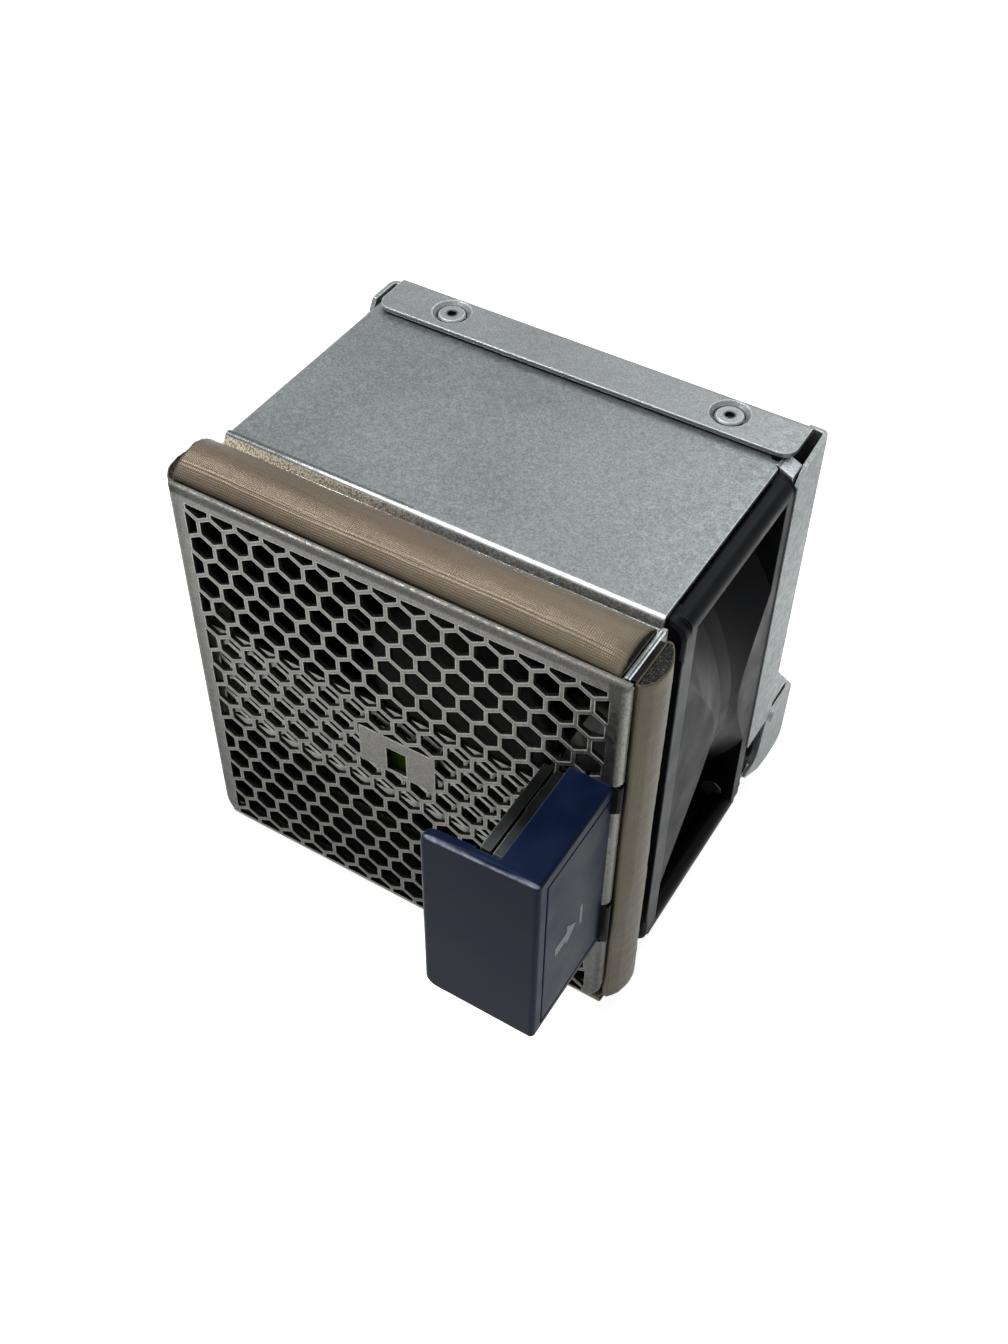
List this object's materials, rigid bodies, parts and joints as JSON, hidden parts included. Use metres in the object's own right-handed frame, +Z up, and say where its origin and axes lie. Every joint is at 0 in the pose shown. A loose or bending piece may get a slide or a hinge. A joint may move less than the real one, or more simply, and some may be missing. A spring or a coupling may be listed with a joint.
{
  "type": "switch fan tray",
  "caption": "Hot-swap fan tray for a network switch: sheet-metal shell round an axial fan, honeycomb front, EMI gaskets, pull handle with a squeeze release and a blind-mate connector.",
  "frame": {"origin": "on the front plane, straight under the fan axis, at the level it stands on", "axes": "+X to the right seen from the front, +Y from the honeycomb front to the rear, +Z up"},
  "size_m": [0.0855, 0.094, 0.086],
  "materials": {
    "galvanised_face": "galvanised sheet, satin",
    "galvanised_shell": "galvanised sheet with fine spangle",
    "galvanised_bracket": "galvanised sheet, satin",
    "rivet_steel": "zinc plated",
    "screw_steel": "zinc plated",
    "fan_plastic": "moulded, satin black",
    "rotor_plastic": "moulded, satin black",
    "yoke_steel": "deep-drawn steel",
    "magnet": "bonded ferrite, matt",
    "shaft_steel": "ground",
    "bearing_steel": "ground",
    "tube_brass": "turned",
    "core_steel": "stacked laminations",
    "coil_copper": "enamelled copper wire",
    "circuit_board": "solder mask",
    "lead_sleeve": "sleeved wires",
    "connector_plastic": "moulded",
    "contact_gold": "gold plated",
    "gasket_cloth": "metallised ripstop cloth",
    "gasket_foam": "open-cell foam",
    "gasket_tape": "adhesive foam tape",
    "handle_navy": "moulded, semi-gloss",
    "lever_black": "moulded",
    "spring_steel": "strip steel",
    "lamp_lens": "clear resin"
  },
  "bodies": {
    "root": {"faceplate": "galvanised_face", "chassis_shell": "galvanised_shell", "gasket_carrier": "galvanised_shell", "rear_bracket": "galvanised_bracket", "cover_rivets": "rivet_steel", "fan_housing": "fan_plastic", "fan_screws": "screw_steel", "bearing_tube": "tube_brass", "front_bearing": "bearing_steel", "rear_bearing": "bearing_steel", "stator_core": "core_steel", "stator_coils": "coil_copper", "motor_board": "circuit_board", "fan_lead": "lead_sleeve", "connector_housing": "connector_plastic", "connector_contacts": "contact_gold", "top_gasket_cloth": "gasket_cloth", "top_gasket_foam": "gasket_foam", "bottom_gasket_cloth": "gasket_cloth", "bottom_gasket_foam": "gasket_foam", "right_gasket_cloth": "gasket_cloth", "right_gasket_foam": "gasket_foam", "left_gasket_cloth": "gasket_cloth", "left_gasket_foam": "gasket_foam", "gasket_tapes": "gasket_tape", "handle_body": "handle_navy", "handle_screws": "screw_steel", "lever_pin": "shaft_steel", "lever_spring": "spring_steel", "led_bracket": "galvanised_face", "led_board": "circuit_board", "status_led": "lamp_lens"},
    "rotor": {"impeller": "rotor_plastic", "rotor_yoke": "yoke_steel", "rotor_magnet": "magnet", "rotor_shaft": "shaft_steel"},
    "lever": {"release_lever": "lever_black"}
  },
  "joints": [
    {"name": "impeller_spin", "type": "hinge", "parent": "root", "child": "rotor", "pos_m": [0, 0.035, 0.0423], "axis": [0, 1, 0], "continuous": true},
    {"name": "lever_squeeze", "type": "hinge", "parent": "root", "child": "lever", "pos_m": [0.0335, -0.007, 0.042], "axis": [0, 0, 1], "range_deg": [0, 5.5], "stiffness_Nm_per_rad": 0.4, "springref_deg": -1.72, "deforming": ["lever_spring"]}
  ]
}
